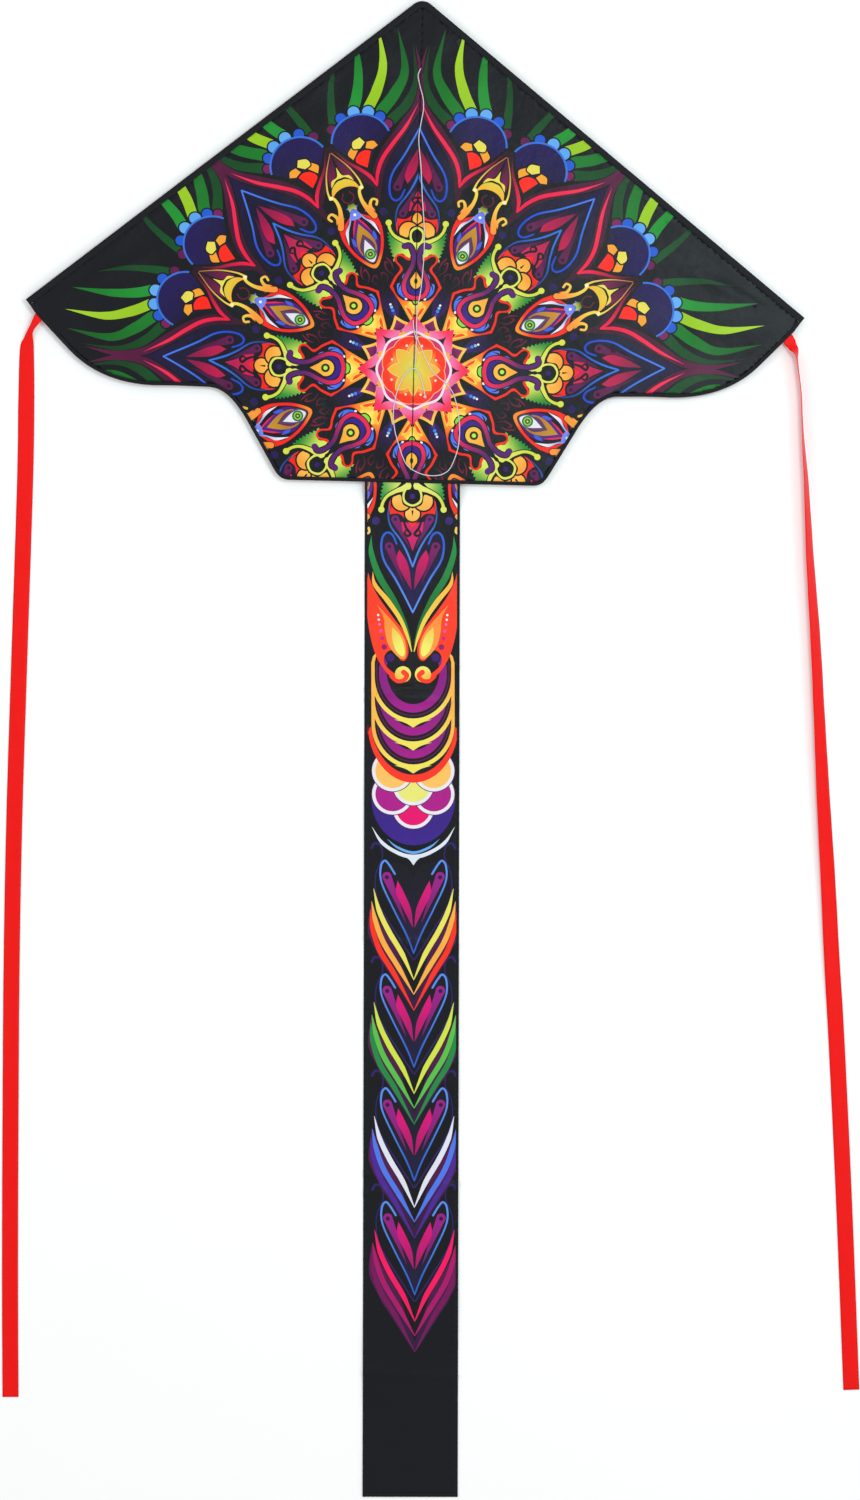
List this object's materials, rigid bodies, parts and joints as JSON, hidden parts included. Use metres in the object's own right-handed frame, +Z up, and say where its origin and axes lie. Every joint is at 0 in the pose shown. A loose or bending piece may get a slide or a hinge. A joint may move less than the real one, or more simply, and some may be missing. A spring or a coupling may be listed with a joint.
{
  "type": "delta kite",
  "caption": "Delta kite laid flat: printed sail on a folding rod frame with a removable spreader, line bridle, long fabric tail and two ribbon streamers.",
  "frame": {"origin": "on the surface that the kite lies on, straight under the centre of the spine at the lower bridle tie", "axes": "+Y along the spine towards the nose, +X towards the right wing seen from the printed face, +Z up out of the printed face"},
  "size_m": [1.302, 2.2472, 0.0242],
  "materials": {
    "printed_cloth": "thin polyester taffeta with a dye print of feathers, hearts and petals on near-black",
    "black_cloth": "black sewn tape and hems",
    "ribbon_cloth": "satin red ribbon",
    "rod": "pultruded fibreglass rod",
    "end_cap": "soft vinyl",
    "fitting": "moulded",
    "line": "braided polyester line"
  },
  "bodies": {
    "spine": {"spine_rod": "rod", "spine_nose_cap": "end_cap", "spine_tail_cap": "end_cap", "spine_pocket": "black_cloth", "nose_pocket": "black_cloth", "pocket_end_tape": "black_cloth", "centre_panel": "printed_cloth", "centre_seam": "black_cloth", "nose_binding": "black_cloth", "centre_hem": "black_cloth", "upper_bridle_tie": "line", "lower_bridle_tie": "line", "tow_knot": "line", "leader_end_knot": "line", "bridle_upper_leg": "line", "bridle_lower_leg": "line", "tow_leader": "line", "tow_knot_tail": "line"},
    "left_wing": {"left_sail_panel": "printed_cloth", "left_leading_sleeve": "black_cloth", "left_leading_rod": "rod", "left_nose_cap": "end_cap", "left_tip_cap": "end_cap", "left_trailing_hem": "black_cloth", "left_tip_patch": "black_cloth", "left_spreader_fitting": "fitting", "left_fitting_stops": "fitting"},
    "right_wing": {"right_sail_panel": "printed_cloth", "right_leading_sleeve": "black_cloth", "right_leading_rod": "rod", "right_nose_cap": "end_cap", "right_tip_cap": "end_cap", "right_trailing_hem": "black_cloth", "right_tip_patch": "black_cloth", "right_spreader_fitting": "fitting", "right_fitting_stops": "fitting"},
    "left_ribbon": {"left_ribbon": "ribbon_cloth"},
    "right_ribbon": {"right_ribbon": "ribbon_cloth"},
    "spreader": {"spreader_rod": "rod"},
    "tail": {"tail_panel": "printed_cloth", "tail_top_hem": "black_cloth", "tail_left_hem": "black_cloth", "tail_right_hem": "black_cloth", "tail_end_hem": "black_cloth"}
  },
  "joints": [
    {"name": "left_wing_fold", "type": "hinge", "parent": "spine", "child": "left_wing", "pos_m": [-0.012, 0, 0.0115], "axis": [0, 1, 0], "range_deg": [0, 90], "deforming": ["tow_leader", "leader_end_knot", "bridle_upper_leg"]},
    {"name": "right_wing_fold", "type": "hinge", "parent": "spine", "child": "right_wing", "pos_m": [0.012, 0, 0.0115], "axis": [0, -1, 0], "range_deg": [0, 90]},
    {"name": "spreader_release", "type": "slide", "parent": "spine", "child": "spreader", "axis": [0, 0, -1], "range_m": [0, 0.1]},
    {"name": "tail_lift", "type": "hinge", "parent": "spine", "child": "tail", "pos_m": [0, -0.1727, 0.0105], "axis": [-1, 0, 0], "range_deg": [0, 10]},
    {"name": "left_ribbon_swing", "type": "hinge", "parent": "left_wing", "child": "left_ribbon", "pos_m": [-0.563, 0.064, 0.01], "axis": [0, 0, -1], "range_deg": [-4, 15]},
    {"name": "right_ribbon_swing", "type": "hinge", "parent": "right_wing", "child": "right_ribbon", "pos_m": [0.557, 0.062, 0.01], "axis": [0, 0, 1], "range_deg": [-4, 15]}
  ],
  "couplings": [
    {"joint": "right_wing_fold", "follows": "left_wing_fold", "ratio": 1}
  ]
}
